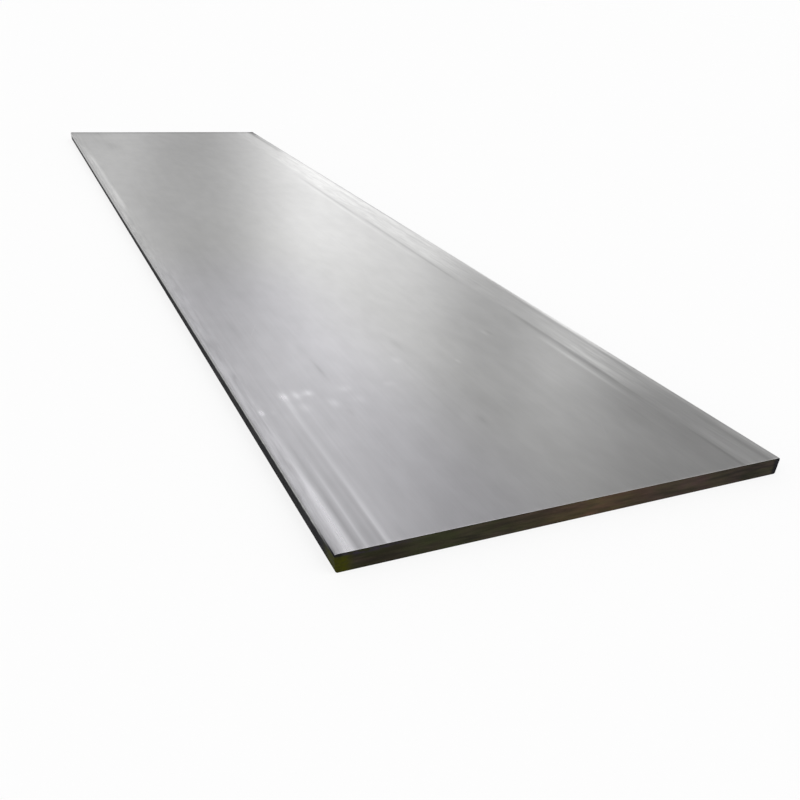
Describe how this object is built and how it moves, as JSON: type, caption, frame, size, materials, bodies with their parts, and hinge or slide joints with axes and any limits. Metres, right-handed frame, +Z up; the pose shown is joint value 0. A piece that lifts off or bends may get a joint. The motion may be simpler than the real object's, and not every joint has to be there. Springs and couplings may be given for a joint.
{
  "type": "steel plate",
  "caption": "Long, thick rectangular steel plate with satin rolled faces, rounded long sides and dark cut ends, raw stock to cut, weld or machine.",
  "frame": {"origin": "middle of the lower face, which the plate rests on", "axes": "+Y along the length, which is the rolling direction, +X across the width, +Z up through the thickness"},
  "size_m": [1.5, 6, 0.06],
  "materials": {
    "steel": "satin grey rolled faces with lengthwise streaks; sides and cut ends dark brown to black with oxide"
  },
  "bodies": {
    "root": {"plate": "steel"}
  },
  "joints": []
}
